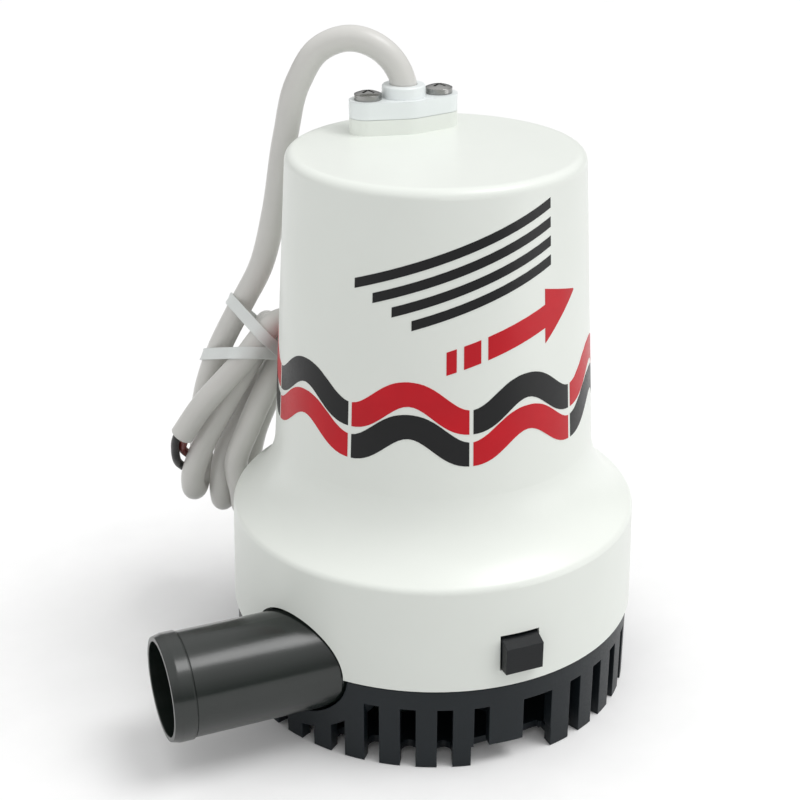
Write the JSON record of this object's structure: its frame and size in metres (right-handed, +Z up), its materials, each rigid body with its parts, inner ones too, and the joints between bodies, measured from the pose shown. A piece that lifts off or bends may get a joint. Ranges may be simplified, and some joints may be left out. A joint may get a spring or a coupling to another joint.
{
  "type": "submersible bilge pump",
  "caption": "Submersible centrifugal bilge pump: white bell housing, black side hose outlet, slotted clip-on strainer base, top cable gland and a coiled, tied power cable.",
  "frame": {"origin": "centre of the plane that the strainer's feet stand on, on the pump's own axis", "axes": "+Z up along the pump's axis; the hose outlet points along -X; the latches face -Y and +Y; the cable gland is at +Y of the axis"},
  "size_m": [0.192, 0.1686, 0.2403],
  "materials": {
    "housing_white": "smooth injection-moulded white, satin gloss",
    "cap_white": "smooth moulded white",
    "stainless": "bright stainless steel",
    "black_rubber": "matt moulded rubber",
    "cable_pvc": "extruded grey-white PVC jacket",
    "wire_black": "PVC insulation",
    "wire_brown": "PVC insulation",
    "tie_nylon": "flat white nylon strip",
    "lead_pvc": "PVC insulation",
    "motor_steel": "zinc-plated drawn steel",
    "bell_plastic": "glass-filled moulding",
    "bronze": "sintered bronze",
    "ferrite": "ground ceramic ferrite",
    "core_steel": "stacked laminations",
    "enamelled_copper": "varnished copper wire",
    "copper": "turned copper segments",
    "brass": "folded brass sheet",
    "carbon": "pressed carbon",
    "spring_steel": "drawn wire",
    "capacitor_ceramic": "dipped coating",
    "plate_plastic": "glass-filled moulding",
    "outlet_black": "moulded black, satin with drag lines",
    "impeller_plastic": "moulded black",
    "strainer_black": "moulded charcoal black, fine texture",
    "latch_black": "moulded black"
  },
  "bodies": {
    "pump": {"housing": "housing_white", "cable_cap": "cap_white", "cap_screws": "stainless", "cable_grommet": "black_rubber", "power_cable": "cable_pvc", "black_wire": "wire_black", "brown_wire": "wire_brown", "cable_ties": "tie_nylon", "motor_leads": "lead_pvc", "motor_can": "motor_steel", "motor_cushion": "black_rubber", "end_bell": "bell_plastic", "upper_bush": "bronze", "lower_bush": "bronze", "magnets": "ferrite", "brush_holders": "brass", "brush_spring_left": "spring_steel", "brush_spring_right": "spring_steel", "capacitor": "capacitor_ceramic", "seal_plate": "plate_plastic", "o_ring": "black_rubber", "shaft_seal": "black_rubber", "volute": "outlet_black", "volute_screws": "stainless", "strainer_base": "strainer_black"},
    "rotor": {"shaft": "stainless", "armature_core": "core_steel", "windings": "enamelled_copper", "commutator": "copper", "slinger": "black_rubber", "impeller": "impeller_plastic", "impeller_washer": "stainless", "impeller_nut": "stainless"},
    "front_latch": {"latch_front": "latch_black"},
    "rear_latch": {"latch_rear": "latch_black"},
    "left_brush": {"brush_left": "carbon"},
    "right_brush": {"brush_right": "carbon"}
  },
  "joints": [
    {"name": "rotor_spin", "type": "hinge", "parent": "pump", "child": "rotor", "pos_m": [0, 0, 0.031], "axis": [0, 0, 1], "continuous": true},
    {"name": "front_latch_press", "type": "hinge", "parent": "pump", "child": "front_latch", "pos_m": [0, -0.0673, 0.022], "axis": [-1, 0, 0], "range_deg": [0, 17], "stiffness_Nm_per_rad": 0.3},
    {"name": "rear_latch_press", "type": "hinge", "parent": "pump", "child": "rear_latch", "pos_m": [0, 0.0673, 0.022], "axis": [1, 0, 0], "range_deg": [0, 17], "stiffness_Nm_per_rad": 0.3},
    {"name": "left_brush_lift", "type": "slide", "parent": "pump", "child": "left_brush", "axis": [-1, 0, 0], "range_m": [0, 0.0015], "stiffness_N_per_m": 300, "deforming": ["brush_spring_left"]},
    {"name": "right_brush_lift", "type": "slide", "parent": "pump", "child": "right_brush", "axis": [1, 0, 0], "range_m": [0, 0.0015], "stiffness_N_per_m": 300, "deforming": ["brush_spring_right"]}
  ]
}
